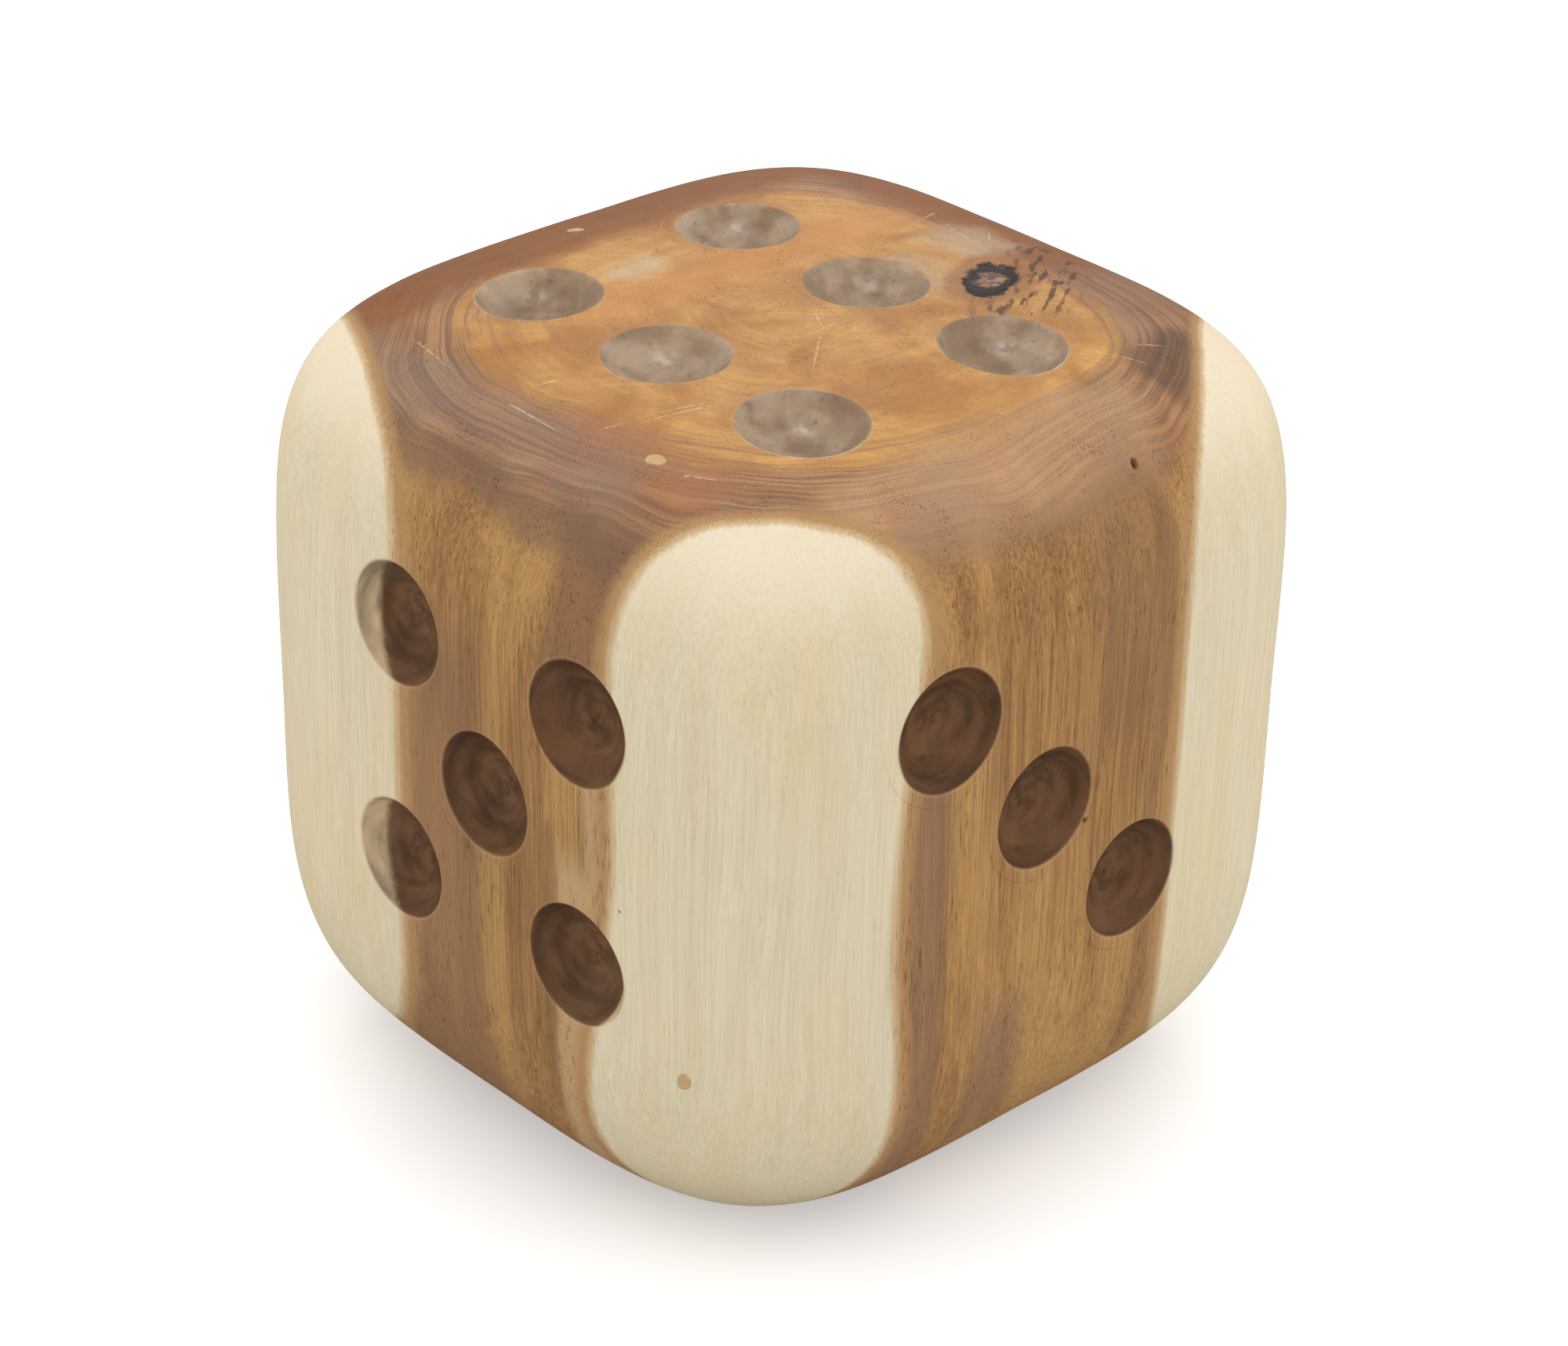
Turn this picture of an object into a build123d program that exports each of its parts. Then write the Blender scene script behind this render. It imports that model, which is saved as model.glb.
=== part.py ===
"""A giant die carved from one log, for the garden or as a stool.

The block is a very rounded cube with the log's length upright, so the top and the foot are end
grain. Its brown heart and the pale sapwood left on the four upright corners are separate solids
that meet face to face along the growth ring where the heart ends. A dead knot and three dabs of
filler sit in sockets of their own. Nothing moves.

Millimetres, +Z up. The origin is on the ground, under the middle of the block.
The near upright corner points to +X, -Y.
"""
import math
import os

from build123d import *

# ---- Block ------------------------------------------------------------------------------------
width = 397  # X, from the four to the three
depth = 403  # Y, from the five to the two
height = 395  # Z, from the foot to the crown of the top

side_dome_radius = 2400  # hand sanding leaves every side a very shallow dome
top_dome_radius = 2700
upright_edge_radius = 98
top_edge_radius = 77
foot_edge_radius = 97

# ---- Dots: ground dishes, each the cap of a ball ------------------------------------------------
dish_radius = 30.3
dish_depth = 15.5
dish_rim_ease = 0.8  # sanded off the sharp rim
dish_ball_radius = (dish_radius**2 + dish_depth**2) / (2 * dish_depth)

dot_pitch = 62  # from the middle of a pattern to its outer dots
row_pitch = 89  # along each row of three in the six

# The patterns were marked out by eye, so the three seen first sit off their faces' centres.
six_centre = (12, -22)
five_centre = (22, 17)
three_centre = (-19, 18)

# ---- Growth ring where the heart ends, one stretch for each upright corner ----------------------
# bearing in degrees from +X, distance from the block's upright axis, the stretch's own radius,
# and how far above mid height it stands out most
ring_stretches = {
    "sapwood_front": (-45, 217, 900, 30),
    "sapwood_left": (-117, 200, 4000, 0),
    "sapwood_right": (42, 197, 4000, 40),
    "sapwood_back": (135, 206, 1500, 0),
}

# ---- Knot and filler ----------------------------------------------------------------------------
knot_centre = (47, 87)
knot_long_radius = 18.5
knot_short_radius = 11
knot_bearing = -58
knot_depth = 48
knot_shrink = 4  # smaller by this all round at its lower end

filler_radius = 3.2
filler_depth = 14

trim = 6  # how far a plug starts outside the surface, before it is cut flush

middle = height / 2

# ---- Planes on the six faces: local x runs to the right and local y up, seen from outside --------
six_face = Plane(origin=(0, 0, height))
one_face = Plane(origin=(0, 0, 0), x_dir=(1, 0, 0), z_dir=(0, 0, -1))
five_face = Plane(origin=(0, -depth / 2, middle), x_dir=(1, 0, 0), z_dir=(0, -1, 0))
three_face = Plane(origin=(width / 2, 0, middle), x_dir=(0, 1, 0), z_dir=(1, 0, 0))
two_face = Plane(origin=(0, depth / 2, middle), x_dir=(-1, 0, 0), z_dir=(0, 1, 0))
four_face = Plane(origin=(-width / 2, 0, middle), x_dir=(0, -1, 0), z_dir=(-1, 0, 0))


def diagonal_dots(centre):
    """Two dots, falling from left to right about the centre."""
    x, y = centre
    return [(x - dot_pitch, y + dot_pitch), (x + dot_pitch, y - dot_pitch)]


def corner_dots(centre):
    """Four dots, at the corners of a square."""
    x, y = centre
    rising = [(x - dot_pitch, y - dot_pitch), (x + dot_pitch, y + dot_pitch)]
    return diagonal_dots(centre) + rising


def row_dots(centre):
    """Six dots, in two rows of three."""
    x, y = centre
    rows = (y - dot_pitch, y + dot_pitch)
    return [(x + step * row_pitch, row) for row in rows for step in (-1, 0, 1)]


def ball_inside(face, dome_radius):
    """Where a ball of dome_radius goes so that it only touches the face plane's origin."""
    return face.origin - face.z_dir * dome_radius


def ring_ball(name):
    """The centre and radius of the ball whose surface is this corner's stretch of growth ring."""
    bearing, reach, radius, rise = ring_stretches[name]
    inward = reach - radius
    angle = math.radians(bearing)
    centre = (inward * math.cos(angle), inward * math.sin(angle), middle + rise)
    return centre, radius


# ---- The whole block, before it is divided into its timbers -------------------------------------
side_faces = (three_face, two_face, four_face, five_face)

with BuildPart() as block:
    Box(width, depth, height, align=(Align.CENTER, Align.CENTER, Align.MIN))
    for face in side_faces:
        # each ball's seam and poles are turned well away from the face that it makes
        with Locations(Plane(ball_inside(face, side_dome_radius), x_dir=-face.z_dir, z_dir=(0, 0, 1))):
            Sphere(side_dome_radius, mode=Mode.INTERSECT)
    with Locations(Plane(ball_inside(six_face, top_dome_radius), x_dir=(0, 0, -1), z_dir=(0, 1, 0))):
        Sphere(top_dome_radius, mode=Mode.INTERSECT)
    fillet(block.edges().group_by(Axis.Z)[1], upright_edge_radius)
    fillet(block.faces().sort_by(Axis.Z)[-1].edges(), top_edge_radius)
    fillet(block.faces().sort_by(Axis.Z)[0].edges(), foot_edge_radius)

    # Opposite faces add up to seven.
    dots = [
        (six_face, top_dome_radius, row_dots(six_centre)),
        (five_face, side_dome_radius, corner_dots(five_centre) + [five_centre]),
        (four_face, side_dome_radius, corner_dots((0, 0))),
        (three_face, side_dome_radius, diagonal_dots(three_centre) + [three_centre]),
        (two_face, side_dome_radius, diagonal_dots((0, 0))),
        (one_face, math.inf, [(0, 0)]),
    ]
    for face, dome_radius, places in dots:
        for x, y in places:
            sag = (x**2 + y**2) / (2 * dome_radius)
            centre = face.from_local_coords((x, y, dish_ball_radius - dish_depth - sag))
            with Locations(Plane(centre, x_dir=face.x_dir, z_dir=face.z_dir)):
                Sphere(dish_ball_radius, rotation=(90, 0, 0), mode=Mode.SUBTRACT)
            chamfer(block.edges(Select.LAST), dish_rim_ease)

# ---- Dead knot: an oval plug, narrower as it goes down -------------------------------------------
with BuildPart() as knot_top:
    for level, shrink in ((-knot_depth, knot_shrink), (trim, 0)):
        with BuildSketch(six_face.offset(level)):
            with Locations(knot_centre):
                Ellipse(knot_long_radius - shrink, knot_short_radius - shrink, rotation=knot_bearing)
    loft()
    add(block.part, mode=Mode.INTERSECT)

# ---- Dabs of filler in old borer holes, each square to the surface where it shows ---------------
filler_planes = {
    "filler_front": Plane(origin=(143, -187, middle - 84), z_dir=(0.44, -0.90, 0)),
    "filler_rim": Plane(origin=(77, -148, middle + 187), z_dir=(0, -0.34, 0.94)),
    "filler_top": Plane(origin=(-130, -17, middle + 193), z_dir=(0, 0, 1)),
}
fillers = {}
for name, plane in filler_planes.items():
    with BuildPart() as filler:
        with BuildSketch(plane.offset(-filler_depth)):
            Circle(filler_radius)
        extrude(amount=filler_depth + trim)
        add(block.part, mode=Mode.INTERSECT)
    fillers[name] = filler.part

# ---- Brown heart ---------------------------------------------------------------------------------
with BuildPart() as heartwood_core:
    add(block.part)
    for name in ring_stretches:
        centre, radius = ring_ball(name)
        with Locations(centre):
            Sphere(radius, mode=Mode.INTERSECT)
    add(knot_top.part, mode=Mode.SUBTRACT)
    add(list(fillers.values()), mode=Mode.SUBTRACT)

# ---- Pale sapwood on the four upright corners ----------------------------------------------------
sapwood = {}
for name in ring_stretches:
    centre, radius = ring_ball(name)
    with BuildPart() as corner:
        add(block.part)
        with Locations(centre):
            Sphere(radius, mode=Mode.SUBTRACT)
        add(list(fillers.values()), mode=Mode.SUBTRACT)
    sapwood[name] = corner.part

# ---- Output --------------------------------------------------------------------------------------
pieces = {"heartwood_core": heartwood_core.part, "knot_top": knot_top.part, **sapwood, **fillers}

os.makedirs("parts", exist_ok=True)
for name, piece in pieces.items():
    piece.label = name
    export_step(piece, f"parts/{name}.step")
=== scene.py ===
# %% [markdown]
# # A giant die carved from one log
# The real block is sawn from a log with its length upright, rounded over by hand, and sanded. Its
# dots are dishes ground with a ball-shaped bit. The brown heart of the log fills the middle, and
# pale sapwood is left only on the four upright corners.
#
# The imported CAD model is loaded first. Every size below either comes from its box or is given in
# millimetres from the middle of the block.

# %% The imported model
import math

import bpy
import numpy as np
from mathutils import Matrix, Vector, noise
from mathutils.geometry import delaunay_2d_cdt


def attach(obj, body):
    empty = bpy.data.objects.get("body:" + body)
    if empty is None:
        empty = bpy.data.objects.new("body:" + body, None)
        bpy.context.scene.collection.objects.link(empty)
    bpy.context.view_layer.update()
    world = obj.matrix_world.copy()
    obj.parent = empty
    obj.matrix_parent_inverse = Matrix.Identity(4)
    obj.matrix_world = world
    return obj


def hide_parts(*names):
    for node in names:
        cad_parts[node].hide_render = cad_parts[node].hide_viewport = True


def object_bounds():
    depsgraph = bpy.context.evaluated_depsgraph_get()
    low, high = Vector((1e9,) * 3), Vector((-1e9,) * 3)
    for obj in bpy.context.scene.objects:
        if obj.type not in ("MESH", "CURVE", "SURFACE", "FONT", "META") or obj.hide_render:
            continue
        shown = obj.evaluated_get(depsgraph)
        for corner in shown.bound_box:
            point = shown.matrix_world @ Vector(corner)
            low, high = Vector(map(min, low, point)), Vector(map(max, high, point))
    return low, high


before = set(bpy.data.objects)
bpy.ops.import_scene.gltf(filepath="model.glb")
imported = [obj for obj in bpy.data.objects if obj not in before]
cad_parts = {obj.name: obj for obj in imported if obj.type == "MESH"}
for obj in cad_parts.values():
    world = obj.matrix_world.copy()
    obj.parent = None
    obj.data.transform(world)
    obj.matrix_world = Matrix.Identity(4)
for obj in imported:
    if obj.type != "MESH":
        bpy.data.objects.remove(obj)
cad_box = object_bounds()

mm = 0.001
lowest = np.array(cad_box[0]) / mm
highest = np.array(cad_box[1]) / mm
middle = (lowest + highest) / 2
half = (highest - lowest) / 2
print("half sizes of the block, mm:", half.round(1))

# %% [markdown]
# ## The rounded block
# A cube sanded by eye has no flat faces and no true fillets: each side swells a little, and turns
# into the next with no line between them. A subdivided cube gets near it, but a formula is simpler
# to steer. It is the formula of a circle with its squares replaced by a higher power: the higher
# the power, the squarer the shape. Seen from above the block has one power, and from the side it
# has one for the shoulder and a lower one for the foot.

# %% The rounded block as a formula
plan_power = 4.2
shoulder_power = 5.2
foot_power = 4.5
foot_drop = 1.5  # the foot's curve would reach this far below the ground, and is cut flat there

# A point that is dropped onto the surface is looked for between these two, in this many halvings.
search_below = -90.0
search_above = 60.0
halvings = 40


def fullness(points):
    """1 on the block's surface, less inside it and more outside. Points are from its middle."""
    across = np.abs(points) / half
    plan = (across[:, 0] ** plan_power + across[:, 1] ** plan_power) ** (1 / plan_power)
    below = points[:, 2] < 0
    upright = np.where(below, np.abs(points[:, 2]) / (half[2] + foot_drop), across[:, 2])
    power = np.where(below, foot_power, shoulder_power)
    return (plan**power + upright**power) ** (1 / power)


def to_surface(directions):
    """Each direction from the middle is stretched until it meets the surface."""
    return directions / fullness(directions)[:, None]


def drop_to_surface(points, normal):
    """Slides points along a normal until they lie on the surface, by halving the interval."""
    low = np.full(len(points), search_below)
    high = np.full(len(points), search_above)
    for _ in range(halvings):
        guess = (low + high) / 2
        inside = fullness(points + guess[:, None] * normal) < 1
        low = np.where(inside, guess, low)
        high = np.where(inside, high, guess)
    return points + low[:, None] * normal


def surface_normal(point):
    """The way out of the surface at a point, from how quickly the fullness rises."""
    step = 0.05
    rise = [fullness(np.array([point + step * axis, point - step * axis])) for axis in np.eye(3)]
    slope = np.array([ahead - behind for ahead, behind in rise])
    return slope / np.linalg.norm(slope)


near_corner = to_surface(np.array([[1.0, -1.0, 0.0]]))[0]
print("the near corner stands out", np.linalg.norm(near_corner).round(1), "mm from the middle")

# %% [markdown]
# ## Where the dots are
# Opposite faces of a die add up to seven. The maker set the patterns out by eye, so the five, the
# three and the six sit a little off the middle of their faces. The faces that nobody sees first
# are given centred patterns.

# %% Dots on the six faces
dot_pitch = 62
row_pitch = 89


def diagonal_dots(x, y):
    """Two dots, falling from left to right about a centre."""
    return [(x - dot_pitch, y + dot_pitch), (x + dot_pitch, y - dot_pitch)]


def corner_dots(x, y):
    """Four dots, at the corners of a square."""
    return diagonal_dots(x, y) + [(x - dot_pitch, y - dot_pitch), (x + dot_pitch, y + dot_pitch)]


def row_dots(x, y):
    """Six dots, in two rows of three."""
    return [(x + step * row_pitch, y + row) for row in (-dot_pitch, dot_pitch) for step in (-1, 0, 1)]


# Each face: the axis that it faces along, which end, the way that its own x runs, and its dots.
# Its own y runs up, or along +Y on the top.
faces = {
    "six": (2, 1, (1, 0, 0), row_dots(12, -22)),
    "one": (2, -1, (1, 0, 0), [(0, 0)]),
    "five": (1, -1, (1, 0, 0), corner_dots(22, 17) + [(22, 17)]),
    "two": (1, 1, (-1, 0, 0), diagonal_dots(0, 0)),
    "three": (0, 1, (0, 1, 0), diagonal_dots(-19, 18) + [(-19, 18)]),
    "four": (0, -1, (0, -1, 0), corner_dots(0, 0)),
}


def face_frame(name):
    """A face's own x, y and outward directions."""
    axis, side, right, _ = faces[name]
    out = np.zeros(3)
    out[axis] = side
    right = np.array(right, float)
    return right, np.cross(out, right), out


print("dots on each face:", {name: len(dots) for name, (_, _, _, dots) in faces.items()})

# %% [markdown]
# ## What is cut into the surface
# A dish is a cap of a ball with its sharp rim sanded over. A borer hole is a narrow steep-sided
# pit. The knot and the dabs of filler are plugs: a plug has a shallow groove round it, and its
# outline is where the mesh is later parted. Each is one Feature, made of rings of points about its
# own centre, so its rim is a clean curve whatever the grid around it does.


# %% Features
class Feature:
    """Something round and small in the surface, with rings of points about it."""

    def __init__(self, face, x, y, kind, radii, rings, segments, turn=0.0, wobble=0.0, piece=None):
        right, up, out = face_frame(face)
        start = right * x + up * y + out * half[faces[face][0]]
        self.face = face
        self.kind = kind
        self.piece = piece
        self.radii = np.array(radii, float)
        self.rings = rings
        self.segments = segments
        self.wobble = wobble
        self.centre = drop_to_surface(start[None, :], out)[0]
        self.normal = surface_normal(self.centre)
        across = right - self.normal * (right @ self.normal)
        across /= np.linalg.norm(across)
        along = np.cross(self.normal, across)
        turn = math.radians(turn)
        self.across = math.cos(turn) * across + math.sin(turn) * along
        self.along = np.cross(self.normal, self.across)

    def outline(self, angle):
        """How far the outline stands in or out of a plain oval at an angle."""
        uneven = np.sin(2 * angle + 0.6) + 0.7 * np.sin(3 * angle + 2.1) + 0.5 * np.sin(5 * angle)
        return 1 + self.wobble * uneven

    def ring_points(self):
        """The rings on the smooth surface, each ring's size as a share of the outline."""
        points = [self.centre]
        shares = [0.0]
        for number, share in enumerate(self.rings):
            angle = (np.arange(self.segments) + number % 2 / 2) * 2 * math.pi / self.segments
            reach = share * self.outline(angle)
            flat = np.outer(reach * np.cos(angle) * self.radii[0], self.across)
            flat += np.outer(reach * np.sin(angle) * self.radii[1], self.along)
            points.extend(drop_to_surface(self.centre + flat, self.normal))
            shares.extend([share] * self.segments)
        return np.array(points), np.array(shares)

    def local(self, points):
        """Points as seen from the feature: across, along and out of the surface."""
        away = points - self.centre
        return away @ self.across, away @ self.along, away @ self.normal

    def share(self, points):
        """How far out each point is: 1 on the outline."""
        x, y, _ = self.local(points)
        x = x / self.radii[0]
        y = y / self.radii[1]
        return np.hypot(x, y) / self.outline(np.arctan2(y, x))


dish_radius = 30.3
dish_depth = 15.5
dish_ball = (dish_radius**2 + dish_depth**2) / (2 * dish_depth)
dish_rim = 1.1  # how far the rim is sanded over
dish_floor_reaches = (3, 6, 9, 12, 15, 18, 21, 23.5, 25.5, 27, 28)
dish_rim_reaches = (28.8, 29.5, 30.1, 30.7, 31.3, 32, 33, 34.5, 36.5)
dish_rings = [reach / dish_radius for reach in dish_floor_reaches + dish_rim_reaches]
hole_rings = (0.35, 0.7, 0.9, 1.0, 1.1, 1.3, 1.8, 2.6)
plug_rings = (0.3, 0.6, 0.82, 0.93, 1.0, 1.07, 1.2, 1.5, 2.1)

features = []
for face, (_, _, _, dots) in faces.items():
    for x, y in dots:
        features.append(Feature(face, x, y, "dish", (dish_radius,) * 2, dish_rings, 96))

features += [
    Feature("six", 47, 87, "plug", (18, 11.5), plug_rings, 72, -58, 0.05, "knot"),
    Feature("six", -130, -17, "plug", (4.2, 3.2), plug_rings, 28, 30, 0.05, "filler_by_the_six"),
    Feature("six", 77, -148, "plug", (5.0, 3.4), plug_rings, 28, 10, 0.06, "filler_on_the_shoulder"),
    Feature("five", 143, -84, "plug", (3.2, 4.6), plug_rings, 28, 0, 0.06, "filler_in_the_corner"),
    Feature("three", 45, 164, "hole", (1.9, 2.8), hole_rings, 20),
    Feature("three", 8, 1, "hole", (1.3, 1.5), hole_rings, 16),
    Feature("five", 111, -5, "hole", (0.7, 0.7), hole_rings, 12),
]
print(len(features), "features:", sum(f.kind == "dish" for f in features), "dishes")


# %% How each feature changes the surface
def soft_min(a, b, blend):
    """The lower of two heights, with the corner between them rounded."""
    overlap = np.maximum(blend - np.abs(a - b), 0) / blend
    return np.minimum(a, b) - overlap**2 * blend / 4


def rise(share, start, end):
    """A smooth step from 0 at start to 1 at end."""
    t = np.clip((share - start) / (end - start), 0, 1)
    return t * t * (3 - 2 * t)


def cut_dish(feature, points):
    """New heights inside a dish, from the ball that ground it."""
    x, y, height = feature.local(points)
    reach = np.minimum(np.hypot(x, y), dish_ball)
    floor = dish_ball - dish_depth - np.sqrt(dish_ball**2 - reach**2)
    return soft_min(height, floor, dish_rim) - height


hole_depth = 7


def cut_hole(feature, points):
    """A steep pit with a floor."""
    return -hole_depth * (1 - rise(feature.share(points), 0.55, 1.08))


groove_depth = 0.35
groove_width = 0.06  # as a share of the plug's outline
plug_dip = 0.25


def cut_plug(feature, points):
    """A plug is nearly flush, in a fine groove."""
    share = feature.share(points)
    groove = groove_depth * np.exp(-(((share - 1) / groove_width) ** 2))
    dip = plug_dip * (1 - rise(share, 0.2, 1.0))
    return -groove - dip


cutters = {"dish": cut_dish, "hole": cut_hole, "plug": cut_plug}


# Two waves of hand sanding, each with its length and its height.
slow_length, slow_height = 120, 0.8
quick_length, quick_height = 38, 0.22
elsewhere = Vector((7, 3, 5))  # sets the quick wave apart from the slow one


def hand_sanding(point):
    """How far hand sanding leaves the surface in or out, in millimetres."""
    slow = noise.noise(Vector(point) / slow_length)
    quick = noise.noise(Vector(point) / quick_length + elsewhere)
    return slow_height * slow + quick_height * quick


print("ways to cut a feature:", ", ".join(cutters))


# %% [markdown]
# ## The mesh
# A grid on a cube, blown up onto the formula, has no poles and no seams. Each face of the cube is
# a flat chart, where the grid and the features' rings are joined by a Delaunay triangulation. The
# charts share the points along their borders, so they weld into one closed skin.

# %% Charts
cells = 84  # grid cells along a chart's side
clear_gap = 2.2  # room between a feature's last ring and the grid


def chart_position(axis, side, points):
    """Where points on the surface fall on a chart that runs from -1 to 1 both ways."""
    scaled = points / half
    flat = np.delete(scaled, axis, axis=1)
    return flat / (side * scaled[:, axis])[:, None]


def grid_points(axis, side):
    """The chart's grid: a whole-number place on the cube for each point, and the surface point."""
    steps = np.arange(-cells, cells + 1, 2)
    first, second = np.meshgrid(steps, steps, indexing="ij")
    places = np.full((first.size, 3), side * cells)
    others = [i for i in range(3) if i != axis]
    places[:, others[0]] = first.ravel()
    places[:, others[1]] = second.ravel()
    spread = np.tan(places / cells * math.pi / 4)
    return places, to_surface(spread * half)


def chart_turns_inward(axis, side):
    """True if a triangle that runs anticlockwise on the chart faces into the block."""
    others = [i for i in range(3) if i != axis]
    cross = np.cross(np.eye(3)[others[0]], np.eye(3)[others[1]])
    return cross[axis] * side < 0


print("charts:", len(faces), "with", cells, "cells along each side")


# %% One skin from the six charts
far_from_any = (-1, 9.0)  # the mark of a point that belongs to no feature
reach_of_widest = 60


def build_skin():
    """The whole surface as points and triangles, with each feature's rings in it."""
    points = []
    marks = []  # which feature a point belongs to, and its share of the outline
    triangles = []
    index_of = {}
    for name, (axis, side, _, _) in faces.items():
        here = [f for f in features if f.face == name]
        places, grid = grid_points(axis, side)
        clear = np.ones(len(grid), bool)
        for feature in here:
            edge = feature.rings[-1] + clear_gap / feature.radii.min()
            near = np.linalg.norm(grid - feature.centre, axis=1) < reach_of_widest
            clear &= ~(near & (feature.share(grid) < edge))
        flat = []
        indices = []
        for place, point in zip(places[clear], grid[clear]):
            key = tuple(place)
            if key not in index_of:
                index_of[key] = len(points)
                points.append(point)
                marks.append(far_from_any)
            indices.append(index_of[key])
        flat.extend(chart_position(axis, side, grid[clear]))
        borders = []
        for feature in here:
            ring, shares = feature.ring_points()
            start = len(flat)
            flat.extend(chart_position(axis, side, ring))
            indices.extend(range(len(points), len(points) + len(ring)))
            points.extend(ring)
            marks.extend((features.index(feature), share) for share in shares)
            if feature.kind == "plug":
                loop = [start + i for i in np.flatnonzero(shares == 1.0)]
                borders.extend(zip(loop, loop[1:] + loop[:1]))
        found = delaunay_2d_cdt([Vector(p) for p in flat], borders, [], 0, 1e-7, True)
        back = [origin[0] for origin in found[3]]
        flip = chart_turns_inward(axis, side)
        for face_points in found[2]:
            corners = [indices[back[i]] for i in face_points]
            triangles.append(corners[::-1] if flip else corners)
    return np.array(points), np.array(marks), np.array(triangles)


skin, marks, triangles = build_skin()
print("skin:", len(skin), "points,", len(triangles), "triangles")

# %% Cutting the features into the skin
# cup holds where a point is inside its dish, in metres from the dish's own centre. It stays far
# away on the rest of the block. The timber uses it for the marks that the bit left.
cup_reach = 37  # just past the last ring of a dish
top_swell = 0.4  # the most that sanding may leave above the block's height

cup = np.full((len(skin), 3), 1.0)
outward = skin / np.linalg.norm(skin, axis=1)[:, None]
sanded = np.array([hand_sanding(point) for point in skin])
carved = skin + sanded[:, None] * outward
for feature in features:
    reach = 1.6 * feature.rings[-1] * feature.radii.max()
    near = np.linalg.norm(skin - feature.centre, axis=1) < reach
    change = cutters[feature.kind](feature, skin[near])
    carved[near] += change[:, None] * feature.normal
    if feature.kind == "dish":
        x, y, _ = feature.local(skin[near])
        inside = np.hypot(x, y) < cup_reach
        local = np.stack([x, y, change], axis=1) * mm
        cup[np.flatnonzero(near)[inside]] = local[inside]
carved[:, 2] = np.maximum(carved[:, 2], -half[2])
carved[:, 2] = np.minimum(carved[:, 2], half[2] + top_swell)


def vertex_normals(points, faces_of):
    """Smooth normals: each point's faces, weighted by their size."""
    a, b, c = (points[faces_of[:, i]] for i in range(3))
    area = np.cross(b - a, c - a)
    total = np.zeros_like(points)
    for i in range(3):
        np.add.at(total, faces_of[:, i], area)
    return total / np.linalg.norm(total, axis=1)[:, None]


# One row for each point: place, normal and cup. Cutting an edge then blends all of them at once.
rows = np.hstack([carved, vertex_normals(carved, triangles), cup])
print("points inside dishes:", int((cup[:, 0] < 1).sum()))

# %% [markdown]
# ## Parting the heart from the sapwood
# The line between brown and pale is a growth ring, and the sawn block cuts through four stretches
# of it. Each stretch is nearly a ball of large radius, as it is in the CAD model. Triangles that
# it crosses are split along it, and a sheet laid on the ball closes the two sides, so each timber
# is a closed solid.

# %% Growth ring
# Bearing from +X in degrees, distance from the block's upright axis, the stretch's own radius, how
# far above the middle it stands out most, and how much it leans: the lean times the way along the
# ring times the way up is what it stands out or in.
ring_stretches = {
    "front": (-45, 219, 800, 10, 0.0003),
    "left": (-117, 200, 4000, 0, 0),
    "right": (42, 197, 4000, 40, 0),
    "back": (135, 206, 1500, 0, 0),
}


def ring_ball(corner):
    """The ball's centre and radius, the way out to the corner, the way along, and the lean."""
    bearing, reach, radius, up, lean = ring_stretches[corner]
    angle = math.radians(bearing)
    outward = np.array([math.cos(angle), math.sin(angle), 0])
    along = np.cross([0, 0, 1], outward)
    return outward * (reach - radius) + np.array([0, 0, up]), radius, outward, along, lean


def beyond_ring(points, corner):
    """How far points lie on the sapwood's side of the ring."""
    centre, radius, _, along, lean = ring_ball(corner)
    return np.linalg.norm(points - centre, axis=1) - radius + lean * (points @ along) * points[:, 2]


for corner in ring_stretches:
    beyond = beyond_ring(rows[:, :3], corner)
    print(f"{corner}: sapwood up to {beyond.max():.0f} mm thick")


# %% Splitting triangles along the ring
snap = 0.3  # a point this near to the ring is taken to be on it


def part_along_ring(rows, triangles, corner):
    """Splits the triangles that the ring crosses. Returns which triangles are sapwood too."""
    side = beyond_ring(rows[:, :3], corner)
    side[np.abs(side) < snap] = 0
    side = list(side)
    rows = list(rows)
    new_points = {}

    def crossing(a, b):
        key = (min(a, b), max(a, b))
        if key not in new_points:
            t = side[a] / (side[a] - side[b])
            new_points[key] = len(rows)
            rows.append(rows[a] + (rows[b] - rows[a]) * t)
            side.append(0.0)
        return new_points[key]

    kept = []
    for triangle in triangles:
        signs = [np.sign(side[i]) for i in triangle]
        if 1 not in signs or -1 not in signs:
            kept.append(tuple(triangle))
            continue
        if 0 in signs:
            turn = signs.index(0)
            a, b, c = (triangle[(turn + i) % 3] for i in range(3))
            cut = crossing(b, c)
            kept += [(a, b, cut), (a, cut, c)]
            continue
        turn = signs.index(1 if signs.count(1) == 1 else -1)
        a, b, c = (triangle[(turn + i) % 3] for i in range(3))
        ab = crossing(a, b)
        ac = crossing(a, c)
        kept += [(a, ab, ac), (ab, b, c), (ab, c, ac)]
    kept = np.array(kept)
    side = np.array(side)
    return np.array(rows), kept, side[kept].max(axis=1) > 0


print("a point within", snap, "mm of the ring is on it")

# %% Plugs, sapwood and heart
is_plug = np.full(len(triangles), -1)
for number, feature in enumerate(features):
    if feature.kind == "plug":
        inside = (marks[:, 0] == number) & (marks[:, 1] <= 1)
        is_plug[inside[triangles].all(axis=1)] = number

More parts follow.
